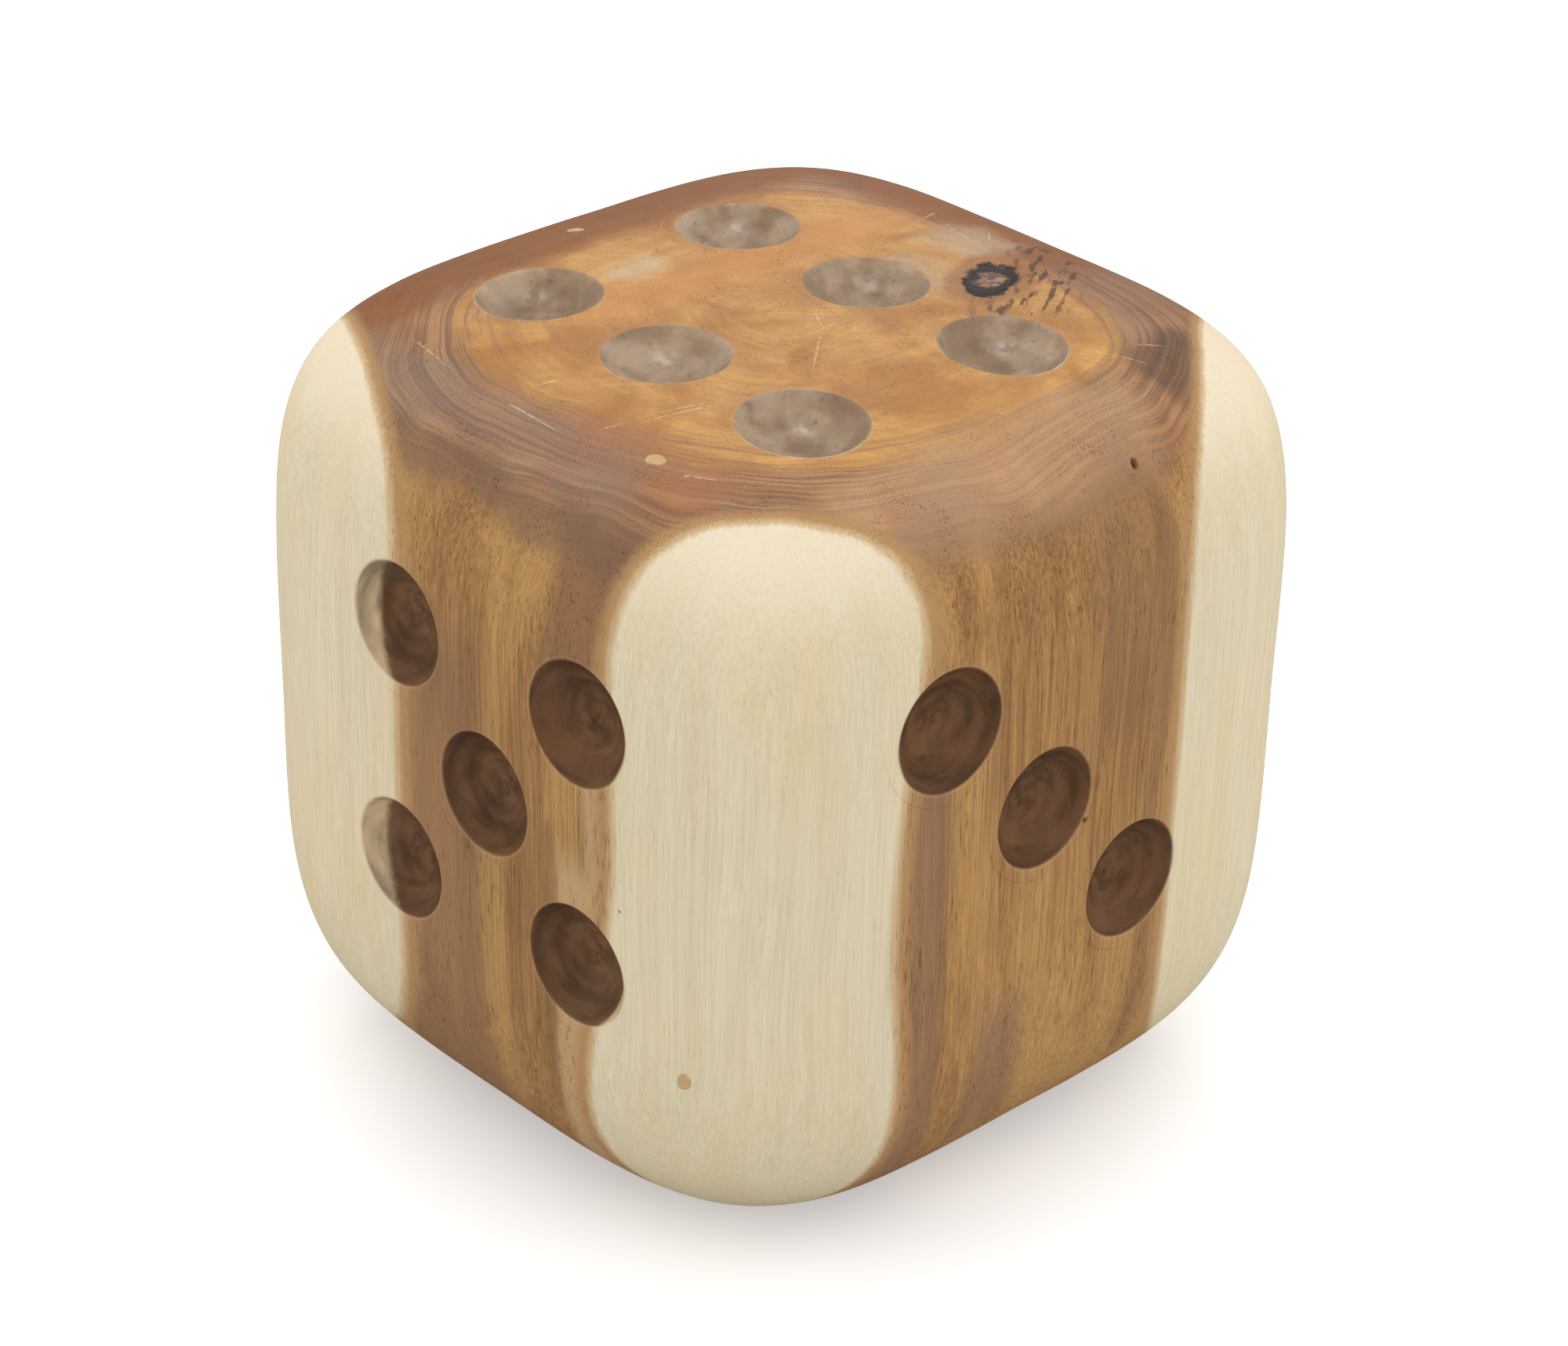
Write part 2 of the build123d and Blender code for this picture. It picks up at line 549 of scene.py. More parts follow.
# Plugs are set apart before the ring is cut, because their triangles are known by their rings.
plug_triangles = {features[n].piece: triangles[is_plug == n] for n in np.unique(is_plug) if n >= 0}
timber = triangles[is_plug < 0]
sap_triangles = {}
for corner in ring_stretches:
    rows, timber, pale = part_along_ring(rows, timber, corner)
    sap_triangles[corner] = timber[pale]
    timber = timber[~pale]
plug_points = np.unique(triangles[is_plug >= 0])
on_plug = np.isin(np.arange(len(rows)), plug_points)
print("timber triangles:", len(timber), {k: len(v) for k, v in sap_triangles.items()})


# %% Closing the parted solids
def open_edges(patch):
    """The directed edges round a patch of triangles."""
    edges = {(t[i], t[(i + 1) % 3]) for t in patch.tolist() for i in range(3)}
    return [edge for edge in edges if edge[::-1] not in edges]


sheet_spacing = 14


def encloses(starts, ends, points):
    """Which points lie inside a loop of straight edges, by counting the edges to their right."""
    x, y = points[:, :1], points[:, 1:]
    spans = (starts[:, 1] > y) != (ends[:, 1] > y)
    rise_of = np.where(ends[:, 1] == starts[:, 1], 1, ends[:, 1] - starts[:, 1])
    meets = starts[:, 0] + (y - starts[:, 1]) / rise_of * (ends[:, 0] - starts[:, 0])
    return (spans & (meets > x)).sum(axis=1) % 2 == 1


inner_points = []  # places of the points that only the faces inside the block use


def add_points(places):
    """Adds points for the faces that don't show. Returns the first one's number."""
    first = len(rows) + len(inner_points)
    inner_points.extend(places)
    return first


def ring_sheet(patch, corner):
    """A sheet on the ring ball, inside the patch's border. It faces the way the corner lies."""
    centre, radius, outward, sideways, lean = ring_ball(corner)
    edges = [edge for edge in open_edges(patch) if not on_plug[list(edge)].all()]
    border = sorted({i for edge in edges for i in edge})
    place = {index: number for number, index in enumerate(border)}
    limits = [(place[a], place[b]) for a, b in edges]
    away = rows[border, :3] - centre
    flat = np.stack([away @ sideways, away[:, 2]], axis=1)
    starts, ends = (flat[[edge[i] for edge in limits]] for i in range(2))
    across = np.arange(flat[:, 0].min(), flat[:, 0].max(), sheet_spacing)
    upward = np.arange(flat[:, 1].min(), flat[:, 1].max(), sheet_spacing)
    grid = np.array([(x, y) for x in across for y in upward])
    clear = np.array([np.abs(flat - p).sum(axis=1).min() > sheet_spacing / 2 for p in grid])
    grid = grid[clear & encloses(starts, ends, grid)]
    inputs = [Vector(p) for p in np.vstack([flat, grid])]
    found = delaunay_2d_cdt(inputs, limits, [], 0, 1e-6, True)
    depth = np.sqrt(radius**2 - (grid**2).sum(axis=1))
    depth -= lean * grid[:, 0] * (grid[:, 1] + centre[2])
    laid = centre + np.outer(depth, outward) + np.outer(grid[:, 0], sideways)
    laid[:, 2] += grid[:, 1]
    first = add_points(laid)
    known = border + list(range(first, first + len(grid)))
    back = [origin[0] for origin in found[3]]
    sheet = np.array([[back[i] for i in face] for face in found[2]])
    centres = np.vstack([flat, grid])[sheet].mean(axis=1)
    return np.array(known)[sheet[encloses(starts, ends, centres)]]


def plug_wall(patch, feature, depth, shrink):
    """The wall and floor of a plug, facing out of it."""
    following = dict(open_edges(patch))
    loop = [next(iter(following))]
    while following[loop[-1]] != loop[0]:
        loop.append(following[loop[-1]])
    top = rows[loop, :3]
    inward = feature.centre - top
    inward -= np.outer(inward @ feature.normal, feature.normal)
    floor = top + inward * shrink - feature.normal * depth
    floor = np.vstack([floor, floor.mean(axis=0)])
    first = add_points(floor)
    count = len(loop)
    wall = []
    for i in range(count):
        j = (i + 1) % count
        wall += [(loop[i], first + i, first + j), (loop[i], first + j, loop[j])]
        wall.append((first + i, first + count, first + j))
    return np.array(wall)


def turned(patch):
    """The same triangles, facing the other way."""
    return patch[:, ::-1]


print("sheets inside the block have points", sheet_spacing, "mm apart")

# %% The nine closed solids
# How deep a plug goes, and how much narrower it is at its floor.
knot_depth, knot_taper = 44, 0.25
filler_depth, filler_taper = 13, 0.05

solids = {}
heart_inside = []
for corner, patch in sap_triangles.items():
    sheet = ring_sheet(patch, corner)
    solids["sap_" + corner] = (patch, turned(sheet))
    heart_inside.append(sheet)
for feature in features:
    if feature.kind == "plug":
        patch = plug_triangles[feature.piece]
        if feature.piece == "knot":
            wall = plug_wall(patch, feature, knot_depth, knot_taper)
        else:
            wall = plug_wall(patch, feature, filler_depth, filler_taper)
        solids[feature.piece] = (patch, wall)
        # The timber round the plug gets the same wall, facing the other way.
        centre = feature.centre[None, :]
        in_sapwood = [corner for corner in sap_triangles if beyond_ring(centre, corner)[0] > 0]
        if in_sapwood:
            home = "sap_" + in_sapwood[0]
            outside, inside = solids[home]
            solids[home] = (outside, np.vstack([inside, turned(wall)]))
        else:
            heart_inside.append(turned(wall))
solids["heart"] = (timber, np.vstack(heart_inside))

blank = np.zeros((len(inner_points), 3))
rows = np.vstack([rows, np.hstack([inner_points, blank, blank + 1])])
print(len(solids), "solids, closed with", len(inner_points), "points inside the block")


# %% Blender objects
def make_object(name, skin_part, inner_part):
    """One closed piece, with the whole skin's smooth normals on the part that shows."""
    patch = np.vstack([skin_part, inner_part])
    used, local = np.unique(patch, return_inverse=True)
    local = local.reshape(patch.shape)
    mesh = bpy.data.meshes.new(name)
    places = (rows[used, :3] + middle) * mm
    mesh.from_pydata(places.tolist(), [], local.tolist())
    mesh.polygons.foreach_set("use_smooth", [True] * len(local))
    a, b, c = (rows[inner_part[:, i], :3] for i in range(3))
    flat = np.cross(b - a, c - a)
    flat /= np.maximum(np.linalg.norm(flat, axis=1), 1e-12)[:, None]
    normals = np.vstack([rows[skin_part.ravel(), 3:6], np.repeat(flat, 3, axis=0)])
    mesh.normals_split_custom_set(normals.tolist())
    cups = mesh.attributes.new("cup", "FLOAT_VECTOR", "POINT")
    cups.data.foreach_set("vector", rows[used, 6:9].ravel())
    piece = bpy.data.objects.new(name, mesh)
    bpy.context.collection.objects.link(piece)
    loose = open_edges(patch)
    print(f"{name}: {len(patch)} triangles, {len(loose)} open edges")
    return piece


pieces = {name: make_object(name, *parts) for name, parts in solids.items()}

# %% [markdown]
# ## Small helpers for node trees
# A material is a tree of nodes. Adding and joining nodes by hand takes many lines, so these
# helpers add one node each and give back what comes out of it. Places are in millimetres from the
# middle of the block, so a number in a material can be measured on the block with a rule.

# %% Node helpers
def node(tree, kind, *values, **settings):
    """Adds a node and fills its first inputs, each with a number or with what comes from a node."""
    made = tree.nodes.new("ShaderNode" + kind)
    for name, value in settings.items():
        setattr(made, name, value)
    for socket, value in zip(made.inputs, values):
        fill(tree, socket, value)
    return made


def fill(tree, socket, value):
    """Joins a socket to another one, or sets it."""
    if value is None:
        return
    if isinstance(value, bpy.types.NodeSocket):
        tree.links.new(value, socket)
    elif socket.type == "RGBA" and len(value) == 3:
        socket.default_value = (*value, 1)
    else:
        socket.default_value = value


def calc(tree, operation, *values):
    """Arithmetic with numbers."""
    return node(tree, "Math", *values, operation=operation).outputs[0]


def steer(tree, operation, *values):
    """Vector arithmetic that gives a vector."""
    return node(tree, "VectorMath", *values, operation=operation).outputs[0]


def measure(tree, operation, *values):
    """Vector arithmetic that gives a number."""
    return node(tree, "VectorMath", *values, operation=operation).outputs[1]


def step_up(tree, value, start, end):
    """A smooth step from 0 to 1 as the value goes from start to end."""
    made = node(tree, "MapRange", value, start, end, 0.0, 1.0, interpolation_type="SMOOTHSTEP")
    return made.outputs[0]


def between(tree, value, low, high, soft):
    """1 between low and high, fading over a soft width at both ends."""
    after = step_up(tree, value, low - soft / 2, low + soft / 2)
    before = step_up(tree, value, high + soft / 2, high - soft / 2)
    return calc(tree, "MULTIPLY", after, before)


def scaled(tree, value, low, high):
    """A value that runs from 0 to 1, made to run from low to high."""
    return node(tree, "MapRange", value, 0.0, 1.0, low, high).outputs[0]


def mix(tree, share, first, second, how="MIX"):
    """The first colour, with the second laid over it to a share."""
    made = node(tree, "Mix", data_type="RGBA", blend_type=how)
    fill(tree, made.inputs[0], share)
    fill(tree, made.inputs[6], first)
    fill(tree, made.inputs[7], second)
    return made.outputs[2]


def lay(tree, colour, tint, mask, strength):
    """A colour with a tint laid over it where the mask is, never more than the strength."""
    return mix(tree, calc(tree, "MULTIPLY", mask, strength), colour, tint)


def shaded(tree, colour, shade):
    """A colour made darker or lighter by a number."""
    grey = node(tree, "CombineColor", shade, shade, shade).outputs[0]
    return mix(tree, 1.0, colour, grey, "MULTIPLY")


def cloud(tree, place, size, detail=2.0, roughness=0.5, distortion=0.0):
    """Noise from 0 to 1. Size is how large its blotches are along each axis, in millimetres."""
    stretched = steer(tree, "DIVIDE", place, size)
    made = node(tree, "TexNoise", stretched, None, 1.0, detail, roughness)
    made.inputs["Distortion"].default_value = distortion
    return made.outputs[0]


def group(name, inputs, outputs):
    """A new node group with named sockets. Returns its tree, its inputs and its output node."""
    tree = bpy.data.node_groups.new(name, "ShaderNodeTree")
    kinds = {"value": "NodeSocketFloat", "place": "NodeSocketVector", "colour": "NodeSocketColor"}
    for socket, kind in inputs.items():
        tree.interface.new_socket(name=socket, in_out="INPUT", socket_type=kinds[kind])
    for socket, kind in outputs.items():
        tree.interface.new_socket(name=socket, in_out="OUTPUT", socket_type=kinds[kind])
    entry = tree.nodes.new("NodeGroupInput")
    return tree, entry.outputs, tree.nodes.new("NodeGroupOutput")


def use(tree, made_group, **values):
    """Places a group in a tree. Spaces in its sockets' names are underscores here."""
    placed = node(tree, "Group", node_tree=made_group)
    for name, value in values.items():
        fill(tree, placed.inputs[name.replace("_", " ")], value)
    return placed.outputs


def built(tree):
    """Says what a group came to, and passes it on."""
    print(f"group '{tree.name}': {len(tree.nodes)} nodes")
    return tree


print("helpers are ready, for nodes in Blender", bpy.app.version_string)


# %% [markdown]
# ## Where a point is in the log
# All timber looks follow from where a point was in the tree. Two measures say most of it: how far
# the point is beyond the ring where the heart ends, and how far it is from the pith. Both are
# made to wander a little, because no tree is round.

# %% Group: place in the log
def make_place_group():
    tree, _, out = group(
        "place in the log", {}, {"Place": "place", "Beyond heart": "value", "Ring": "value"})
    coordinate = node(tree, "TexCoord").outputs["Object"]
    from_middle = steer(tree, "SUBTRACT", coordinate, tuple(middle * mm))
    place = node(tree, "VectorMath", from_middle, operation="SCALE")
    place.inputs["Scale"].default_value = 1 / mm
    place = place.outputs[0]
    fill(tree, out.inputs["Place"], place)

    beyond = None
    for corner in ring_stretches:
        centre, radius, _, along, lean = ring_ball(corner)
        far = calc(tree, "SUBTRACT", measure(tree, "DISTANCE", place, tuple(centre)), radius)
        if lean:
            way = calc(tree, "MULTIPLY", measure(tree, "DOT_PRODUCT", place, tuple(along)), lean)
            far = calc(tree, "MULTIPLY_ADD", way, node(tree, "SeparateXYZ", place).outputs[2], far)
        beyond = far if beyond is None else calc(tree, "MAXIMUM", beyond, far)
    wander = scaled(tree, cloud(tree, place, (60, 60, 170), 2.0), -3, 3)
    hairs = scaled(tree, cloud(tree, place, (2, 2, 60), 3.0), -1.2, 1.2)
    beyond = calc(tree, "ADD", beyond, calc(tree, "ADD", wander, hairs))
    fill(tree, out.inputs["Beyond heart"], beyond)

    # Rings are squarish here: the log grew fastest towards the four corners.
    pith = (17, -15, 0)
    away = steer(tree, "ABSOLUTE", steer(tree, "SUBTRACT", place, pith))
    parts = node(tree, "SeparateXYZ", away).outputs
    cubes = [calc(tree, "POWER", parts[i], 3.0) for i in range(2)]
    ring = calc(tree, "POWER", calc(tree, "ADD", *cubes), 1 / 3)
    sway = scaled(tree, cloud(tree, place, (90, 90, 260), 2.0), -12, 12)
    fill(tree, out.inputs["Ring"], calc(tree, "ADD", ring, sway))
    return tree


place_group = built(make_place_group())

# %% [markdown]
# ## Fibres and pores
# The fibres run up the block. One solid noise, drawn out along the grain, gives streaks on the
# four sides and specks on the top and the foot, as sawing through real timber does. The pores are
# short dark dashes that can be felt, so they go into the height as well.

# %% Group: fibres
def make_fibre_group():
    tree, given, out = group(
        "fibres", {"Place": "place"},
        {"Streak": "value", "Hair": "value", "Pores": "value", "Height": "value"})
    place = given["Place"]
    sway = node(tree, "TexNoise", steer(tree, "DIVIDE", place, (70, 70, 240)), None, 1.0, 2.0)
    sway = steer(tree, "MULTIPLY", steer(tree, "SUBTRACT", sway.outputs[1], (0.5,) * 3), (16, 16, 0))
    place = steer(tree, "ADD", place, sway)
    broad = cloud(tree, place, (13, 13, 600), 6.0, 0.7)
    fine = cloud(tree, place, (1.5, 1.5, 130), 5.0, 0.75)
    streak = calc(tree, "ADD", calc(tree, "MULTIPLY", broad, 0.6), calc(tree, "MULTIPLY", fine, 0.4))
    fill(tree, out.inputs["Streak"], step_up(tree, streak, 0.36, 0.64))
    fill(tree, out.inputs["Hair"], step_up(tree, fine, 0.30, 0.70))
    dashes = cloud(tree, place, (0.7, 0.7, 12), 2.0)
    crowd = cloud(tree, place, (16, 16, 70), 2.0)
    pores = step_up(tree, calc(tree, "ADD", dashes, calc(tree, "MULTIPLY", crowd, 0.3)), 0.72, 0.90)
    fill(tree, out.inputs["Pores"], pores)
    felt = calc(tree, "SUBTRACT", calc(tree, "MULTIPLY", fine, 0.5), pores)
    fill(tree, out.inputs["Height"], felt)
    return tree


fibre_group = built(make_fibre_group())

# %% [markdown]
# ## The inside of a dish
# The ball-shaped bit spun on the dish's own axis, so what it left runs in arcs round that axis.
# The mesh carries each dish's own coordinates in its cup attribute. Their length gives the way
# from the axis, and their angle the way round it.

# %% Group: dish marks
def make_dish_group():
    tree, _, out = group(
        "dish marks", {}, {"Inside": "value", "Rim": "value", "Arcs": "value"})
    in_metres = node(tree, "Attribute", attribute_name="cup", attribute_type="GEOMETRY").outputs[1]
    scale = node(tree, "VectorMath", in_metres, operation="SCALE")
    scale.inputs["Scale"].default_value = 1 / mm
    x, y, _ = node(tree, "SeparateXYZ", scale.outputs[0]).outputs
    flat = node(tree, "CombineXYZ", x, y).outputs[0]
    reach = measure(tree, "LENGTH", flat)
    fill(tree, out.inputs["Inside"], step_up(tree, reach, dish_radius + 0.5, dish_radius - 1.0))
    fill(tree, out.inputs["Rim"], between(tree, reach, dish_radius - 0.2, dish_radius + 0.9, 1.0))
    # The way round the axis only changes the noise slowly, so its marks run in arcs.
    turn_x = calc(tree, "DIVIDE", x, calc(tree, "MAXIMUM", reach, 1.0))
    turn_y = calc(tree, "DIVIDE", y, calc(tree, "MAXIMUM", reach, 1.0))
    along = calc(tree, "DIVIDE", reach, 6.0)
    # Where the dish is on the block goes in too, so that no two dishes look alike.
    own = node(tree, "SeparateXYZ", use(tree, place_group)["Place"]).outputs
    own = calc(tree, "DIVIDE", calc(tree, "ADD", own[0], own[2]), 60.0)
    turn_x = calc(tree, "MULTIPLY", turn_x, 0.8)
    turn_y = calc(tree, "MULTIPLY", turn_y, 0.8)
    sweep = node(tree, "CombineXYZ", calc(tree, "ADD", along, own), turn_x, turn_y).outputs[0]
    arcs = node(tree, "TexNoise", sweep, None, 1.0, 4.0, 0.55).outputs[0]
    fill(tree, out.inputs["Arcs"], step_up(tree, arcs, 0.3, 0.7))
    return tree


dish_group = built(make_dish_group())


# %% [markdown]
# ## Scratches
# The top has been knocked about: it has a dozen pale scratches. Each is the neighbourhood of a
# straight line between two points, roughened so that it comes and goes.

# %% Group: one scratch
def make_scratch_group():
    tree, given, out = group(
        "scratch", {"Place": "place", "From": "place", "To": "place", "Width": "value"},
        {"Mask": "value"})
    along = steer(tree, "SUBTRACT", given["To"], given["From"])
    away = steer(tree, "SUBTRACT", given["Place"], given["From"])
    away = steer(tree, "MULTIPLY", away, (1, 1, 0))
    share = calc(tree, "DIVIDE", measure(tree, "DOT_PRODUCT", away, along),
                 measure(tree, "DOT_PRODUCT", along, along))
    share = node(tree, "Clamp", share, 0.0, 1.0).outputs[0]
    reached = node(tree, "VectorMath", along, operation="SCALE")
    fill(tree, reached.inputs["Scale"], share)
    miss = measure(tree, "LENGTH", steer(tree, "SUBTRACT", away, reached.outputs[0]))
    taper = calc(tree, "MULTIPLY", given["Width"], scaled(tree, share, 1.0, 0.35))
    near = step_up(tree, calc(tree, "DIVIDE", miss, taper), 1.1, 0.3)
    rough = step_up(tree, cloud(tree, given["Place"], (3, 3, 3), 3.0), 0.34, 0.60)
    fill(tree, out.inputs["Mask"], calc(tree, "MULTIPLY", near, rough))
    return tree


scratch_group = built(make_scratch_group())

# x and y of each end on the top, and the width where it starts.
scratches = [
    ((44, -20), (70, -49), 0.9),
    ((64, -105), (52, -134), 1.2),
    ((60, -106), (50, -128), 0.8),
    ((-5, -134), (-9, -142), 1.1),
    ((45, -140), (41, -148), 1.2),
    ((-32, 128), (-27, 112), 1.2),
    ((-18, 122), (20, 112), 0.8),
    ((0, 134), (16, 118), 0.8),
    ((24, -4), (38, -12), 0.9),
    ((130, 72), (146, 88), 0.9),
    ((134, 96), (139, 108), 1.0),
    ((-90, -148), (-58, -154), 0.7),
    ((-10, -157), (24, -158), 0.9),
    ((96, -148), (112, -140), 0.9),
]

# %% [markdown]
# ## Streaks and patches of their own
# Some marks on the block are not chance: a honey band beside the front corner, a mauve flame low on
# the three. A pale grey patch behind the six is a painted sheen. Each is a box with very soft sides
# that tints the timber inside it. The place is bent by noise first, so that no side of a box is
# straight.

# %% Tints in the heart
everywhere = (-300, 300)
near_five = (-300, -110)
near_three = (110, 300)
on_top = (150, 300)

# For each one: its x, y and z ranges, how soft its sides are, its colour and its strength.
tints = {
    "honey beside the front corner": (
        (72, 125), near_five, (-300, 10), 14, (0.60, 0.40, 0.21), 0.75),
    "pale honey by the front corner, higher": (
        (94, 125), near_five, (0, 150), 10, (0.60, 0.42, 0.23), 0.6),
    "brown line inside the honey": (
        (60, 71), near_five, (-140, 20), 8, (0.24, 0.13, 0.065), 0.5),
    "dark wedge under the shoulder": (
        (62, 104), near_five, (70, 172), 16, (0.26, 0.135, 0.068), 0.8),
    "mauve below the middle of the five": (
        (-52, 20), near_five, (-190, 90), 26, (0.26, 0.140, 0.080), 0.65),
    "mauve beside the front corner": (
        near_three, (-108, -78), (-180, 60), 12, (0.30, 0.175, 0.11), 0.55),
    "mauve flame low on the three": (
        near_three, (-54, -24), (-150, -78), 16, (0.28, 0.16, 0.11), 0.55),
    "brown streaks high on the three": (
        near_three, (14, 54), (40, 165), 16, (0.27, 0.15, 0.08), 0.4),
    "brown streak beside the right corner": (
        near_three, (50, 60), (-150, 150), 7, (0.25, 0.135, 0.07), 0.55),
    "red brown along the left of the top": (
        (-175, -106), everywhere, on_top, 24, (0.28, 0.11, 0.042), 0.88),
    "red brown along the back of the top": (
        (-160, 60), (118, 185), on_top, 26, (0.29, 0.115, 0.045), 0.85),
    "orange down the middle of the top": (
        (-56, -22), (-90, 110), on_top, 22, (0.60, 0.27, 0.09), 0.55),
    # Painted sheen: a pale grey patch where the light glances off the back of the top.
    "painted sheen behind the six": (
        (-12, 26), (98, 134), on_top, 20, (0.56, 0.42, 0.28), 0.6),
    "grey patch between two dots": (
        (-78, -60), (-52, -14), on_top, 14, (0.60, 0.45, 0.28), 0.7),
    "pale between the dots and the knot": (
        (0, 56), (56, 80), on_top, 16, (0.55, 0.40, 0.26), 0.5),
    "grey mauve shoulder above the five": (
        (-160, 84), (-178, -150), (140, 300), 20, (0.29, 0.21, 0.16), 0.42),
    "dark line under the shoulder of the five": (
        (-130, 118), near_five, (150, 168), 7, (0.19, 0.11, 0.075), 0.6),
    "dark line under the shoulder of the three": (
        near_three, (-110, 70), (152, 166), 7, (0.27, 0.145, 0.08), 0.5),
    "red brown before the front dot": (
        (30, 116), (-160, -138), on_top, 14, (0.40, 0.18, 0.09), 0.55),
    "tan shoulder above the three": (
        (146, 190), (-120, 66), (160, 300), 18, (0.58, 0.35, 0.19), 0.5),
    "dark rings by the right corner": (
        (134, 168), (84, 150), on_top, 14, (0.10, 0.07, 0.055), 0.6),
    "brown behind the knot": (
        (50, 120), (120, 175), on_top, 24, (0.30, 0.165, 0.10), 0.55),
}


# %% Group: tints
def make_tint_group():
    tree, given, out = group("tints", {"Place": "place", "Colour": "colour"}, {"Colour": "colour"})
    stretched = steer(tree, "DIVIDE", given["Place"], (32, 32, 120))
    bend = node(tree, "TexNoise", stretched, None, 1.0, 5.0)
    bend = steer(tree, "SUBTRACT", bend.outputs[1], (0.5,) * 3)
    place = steer(tree, "ADD", given["Place"], steer(tree, "MULTIPLY", bend, (30, 30, 30)))
    x, y, z = node(tree, "SeparateXYZ", place).outputs
    colour = given["Colour"]
    for x_range, y_range, z_range, soft, tint, strength in tints.values():
        share = strength
        limits = ((x, x_range, soft), (y, y_range, soft), (z, z_range, soft * 2))
        for value, (low, high), width in limits:
            if (low, high) != everywhere:
                share = calc(tree, "MULTIPLY", share, between(tree, value, low, high, width))
        colour = mix(tree, share, colour, tint)
    fill(tree, out.inputs["Colour"], colour)
    return tree


tint_group = built(make_tint_group())

# %% [markdown]
# ## The knot's surroundings
# A branch pushed the fibres aside, so dark resin and orange stain lie round the knot in broken
# streaks. Both the knot and the heart round it use this group, which measures how far out of the
# knot a point is: 1 on its bark.

# %% Group: knot
knot_feature = next(f for f in features if f.piece == "knot")


def make_knot_group():
    tree, given, out = group(
        "round the knot", {"Place": "place", "Colour": "colour"}, {"Colour": "colour"})
    away = steer(tree, "SUBTRACT", given["Place"], tuple(knot_feature.centre))
    long_way = calc(tree, "DIVIDE", measure(tree, "DOT_PRODUCT", away, tuple(knot_feature.across)),
                    float(knot_feature.radii[0]))
    short_way = calc(tree, "DIVIDE", measure(tree, "DOT_PRODUCT", away, tuple(knot_feature.along)),
                     float(knot_feature.radii[1]))
    flat = node(tree, "CombineXYZ", long_way, short_way).outputs[0]
    out_of = measure(tree, "LENGTH", flat)
    ragged = scaled(tree, cloud(tree, given["Place"], (9, 9, 30), 4.0, 0.6), -0.6, 0.6)
    out_of = calc(tree, "ADD", out_of, ragged)

    # A stain close round the knot.
    colour = given["Colour"]
    on_face = step_up(tree, node(tree, "SeparateXYZ", given["Place"]).outputs[2], 120, 150)
    stain = calc(tree, "MULTIPLY", between(tree, out_of, 0.9, 1.8, 0.7), on_face)
    colour = lay(tree, colour, (0.34, 0.155, 0.065), stain, 0.75)

    # Dark streaks to the right of the knot, drawn out along the ring.
    drawn = steer(tree, "DIVIDE", given["Place"], (9, 9, 40))
    along_ring = node(tree, "VectorRotate", drawn, rotation_type="Z_AXIS")
    along_ring.inputs["Angle"].default_value = math.radians(55)
    squeezed = steer(tree, "MULTIPLY", along_ring.outputs[0], (0.55, 2.0, 1.0))
    flecks = node(tree, "TexNoise", squeezed, None, 1.0, 3.0, 0.5).outputs[0]
    region = calc(tree, "MULTIPLY", between(tree, out_of, 1.2, 3.6, 1.2), on_face)
    right_of_knot = step_up(tree, measure(tree, "DOT_PRODUCT", away, (0.84, 0.54, 0)), -12, 14)
    region = calc(tree, "MULTIPLY", region, right_of_knot)
    flecks = calc(tree, "MULTIPLY", step_up(tree, flecks, 0.50, 0.62), region)
    colour = lay(tree, colour, (0.10, 0.05, 0.033), flecks, 0.85)

    # The ring of bark.
    bark = calc(tree, "MULTIPLY", between(tree, out_of, 0.55, 1.16, 0.25), on_face)
    colour = lay(tree, colour, (0.022, 0.017, 0.018), bark, 0.96)
    fill(tree, out.inputs["Colour"], colour)
    return tree


knot_group = built(make_knot_group())

# %% [markdown]
# ## The heart along the grain
# On the four sides the saw ran with the fibres, so the brown heart shows long streaks and fine dark
# hairs. An image of planks would do for a flat board, but it would not turn into rings on the top
# of the same block, so the streaks come from the solid fibres.

# %% Heart on the sides
def heart_side(tree, place, fibres):
    """The heart's colour where the surface runs along the grain."""
    side = mix(tree, fibres["Streak"], (0.31, 0.158, 0.062), (0.47, 0.245, 0.096))
    blotches = cloud(tree, place, (34, 34, 260), 3.0)
    side = mix(tree, step_up(tree, blotches, 0.42, 0.66), side, (0.53, 0.295, 0.112))
    hair_shade = scaled(tree, fibres["Hair"], 0.74, 1.12)
    return shaded(tree, side, hair_shade)


print("ready:", heart_side.__name__)

# %% [markdown]
# ## The heart across the grain
# The top is sawn across the fibres. Its middle is warm, with faint rings, open pores that show as
# specks, and a haze of sanding marks from corner to corner. Round the shoulder the surface cuts
# many rings at a low angle, so they run close together, in mauve, red brown and tan.

